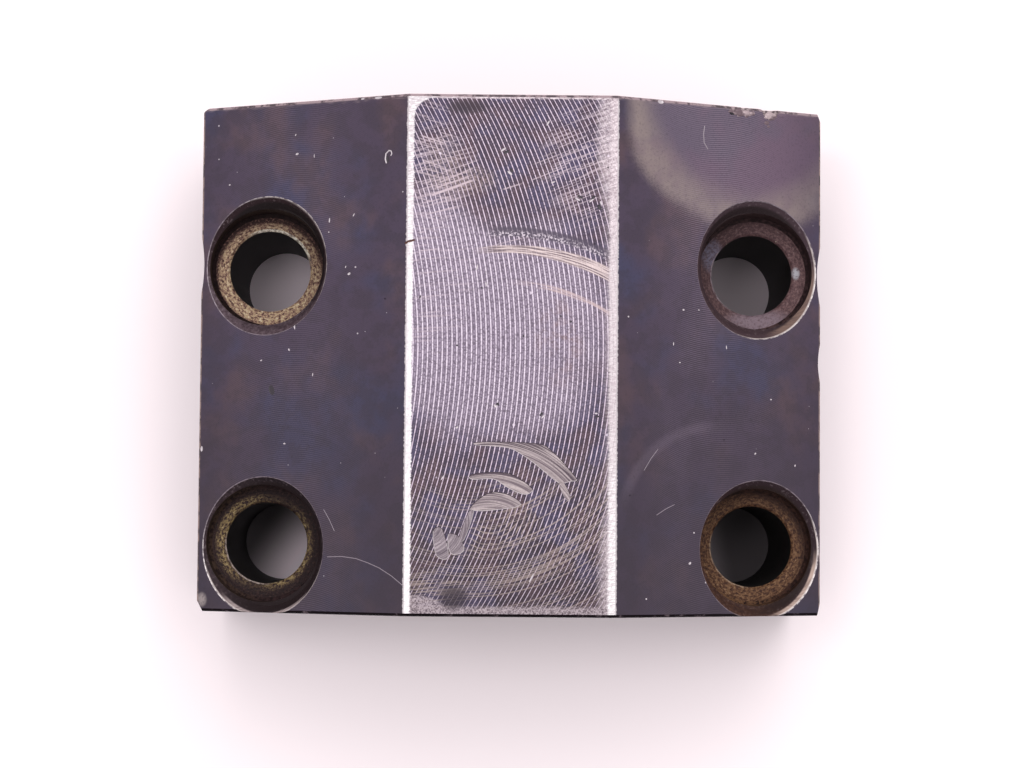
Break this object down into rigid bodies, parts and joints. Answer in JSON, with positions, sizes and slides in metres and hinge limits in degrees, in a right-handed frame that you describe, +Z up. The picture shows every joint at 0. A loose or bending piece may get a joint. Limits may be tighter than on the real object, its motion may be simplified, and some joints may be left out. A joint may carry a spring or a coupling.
{
  "type": "boring bar holder block",
  "caption": "Steel boring bar holder block: flat ridge between sloping shoulders, horizontal bar bore, counterbored bolt holes and side set screws.",
  "frame": {"origin": "centre of the base face, half way across and along the block", "axes": "+X across the block, +Y along the bar bore towards the back, +Z up from the base"},
  "size_m": [0.107, 0.0868, 0.058],
  "materials": {
    "black_oxide_steel": "milled and blackened, with a bare, scuffed flat top and worn edges",
    "screw_steel": "blackened, slightly oily"
  },
  "bodies": {
    "block": {"block": "black_oxide_steel"},
    "set_screw_front": {"set_screw_front": "screw_steel"},
    "set_screw_middle": {"set_screw_middle": "screw_steel"},
    "set_screw_rear": {"set_screw_rear": "screw_steel"}
  },
  "joints": [
    {"name": "set_screw_front_travel", "type": "slide", "parent": "block", "child": "set_screw_front", "axis": [-1, 0, 0], "range_m": [-0.003, 0.0075]},
    {"name": "set_screw_middle_travel", "type": "slide", "parent": "block", "child": "set_screw_middle", "axis": [-1, 0, 0], "range_m": [-0.003, 0.0075]},
    {"name": "set_screw_rear_travel", "type": "slide", "parent": "block", "child": "set_screw_rear", "axis": [-1, 0, 0], "range_m": [-0.003, 0.0075]}
  ]
}
